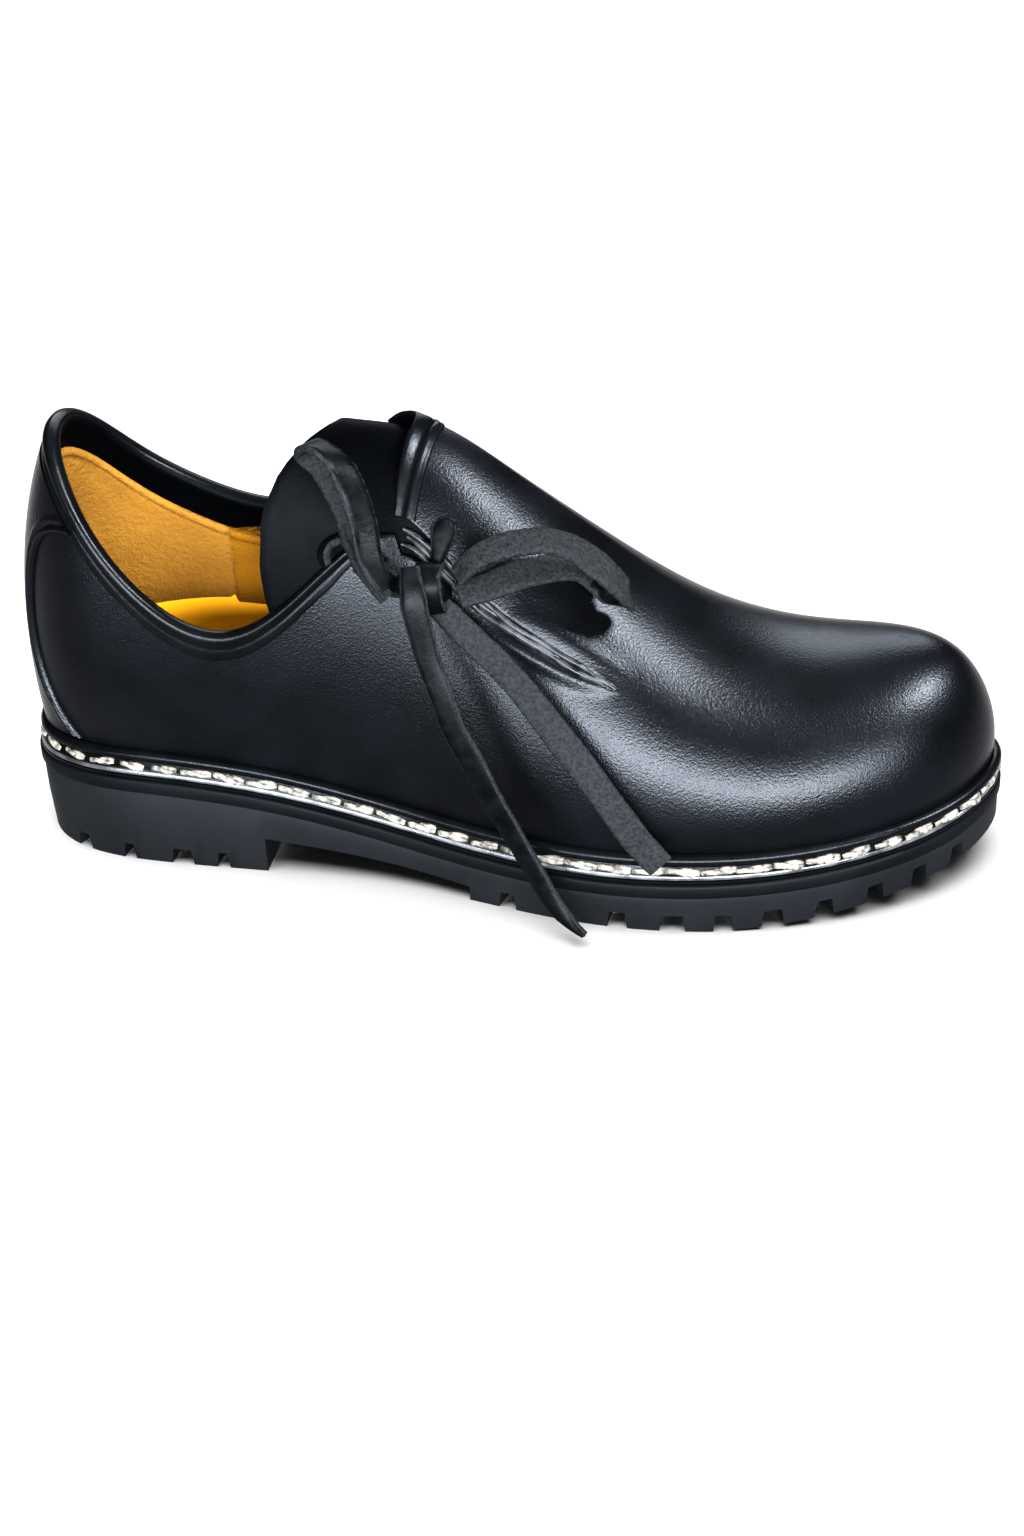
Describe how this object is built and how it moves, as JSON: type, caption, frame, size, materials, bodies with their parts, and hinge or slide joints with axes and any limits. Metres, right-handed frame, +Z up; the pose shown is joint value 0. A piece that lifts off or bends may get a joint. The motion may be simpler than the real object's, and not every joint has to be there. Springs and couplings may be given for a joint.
{
  "type": "haferl shoe",
  "caption": "Right haferl shoe in black leather, side-laced, on a lugged rubber sole with a stitched welt.",
  "frame": {"origin": "middle of the heel's tread, on the floor", "axes": "+X to the toe, +Y to the inner side of the foot, +Z up"},
  "size_m": [0.285, 0.1162, 0.1353],
  "materials": {
    "sole_rubber": "matte",
    "black_leather": "satin",
    "lace_leather": "satin",
    "footbed_leather": "matte"
  },
  "bodies": {
    "root": {"outsole": "sole_rubber", "midsole": "sole_rubber", "welt": "black_leather", "insole": "footbed_leather", "upper": "black_leather", "collar_band": "black_leather", "vamp_binding": "black_leather", "heel_counter": "black_leather", "tongue": "black_leather", "lace_bars": "lace_leather", "lace_knot": "lace_leather", "lace_loop_back": "lace_leather", "lace_loop_front": "lace_leather", "lace_end_long": "lace_leather", "lace_end_short": "lace_leather"}
  },
  "joints": []
}
